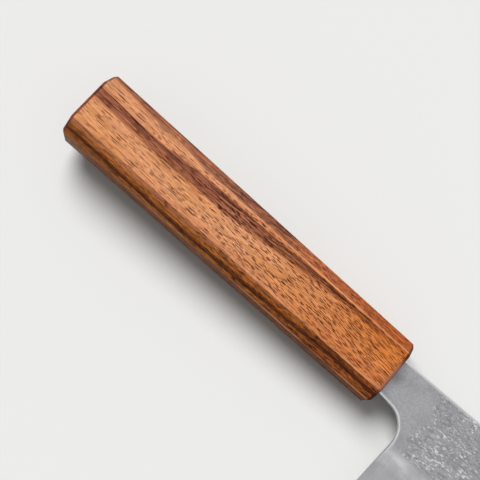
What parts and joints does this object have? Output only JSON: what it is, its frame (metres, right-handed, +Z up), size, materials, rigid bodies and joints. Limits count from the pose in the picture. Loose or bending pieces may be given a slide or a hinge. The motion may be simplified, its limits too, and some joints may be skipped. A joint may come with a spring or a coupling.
{
  "type": "santoku knife",
  "caption": "Kitchen knife with a laminated steel blade, straight spine dropping to the tip, curved choil, pear-skin flats and ground bevels, on a tapered octagonal wooden handle.",
  "frame": {"origin": "middle of the knife's bounding box, on the surface that the knife lies on", "axes": "the knife lies on its left side as it comes to rest by itself, on the front edge of the handle and on the blade near the tip. +X runs towards the tip, +Y from the cutting edge towards the spine and +Z up, out of the right side of the blade. The knife's own length leans 2.66 degrees nose down from +X"},
  "size_m": [0.3078, 0.0516, 0.0245],
  "materials": {
    "handle_wood": "oiled, sanded smooth, open pores, dark stripes along the grain",
    "bedding_resin": "cured dark resin",
    "hard_steel": "ground and honed",
    "soft_steel": "pear-skin texture on the flats, satin on the neck and bevels, polished at the spine and choil"
  },
  "bodies": {
    "root": {"handle": "handle_wood", "tang_bedding": "bedding_resin", "core_steel": "hard_steel", "cladding_right": "soft_steel", "cladding_left": "soft_steel"}
  },
  "joints": []
}
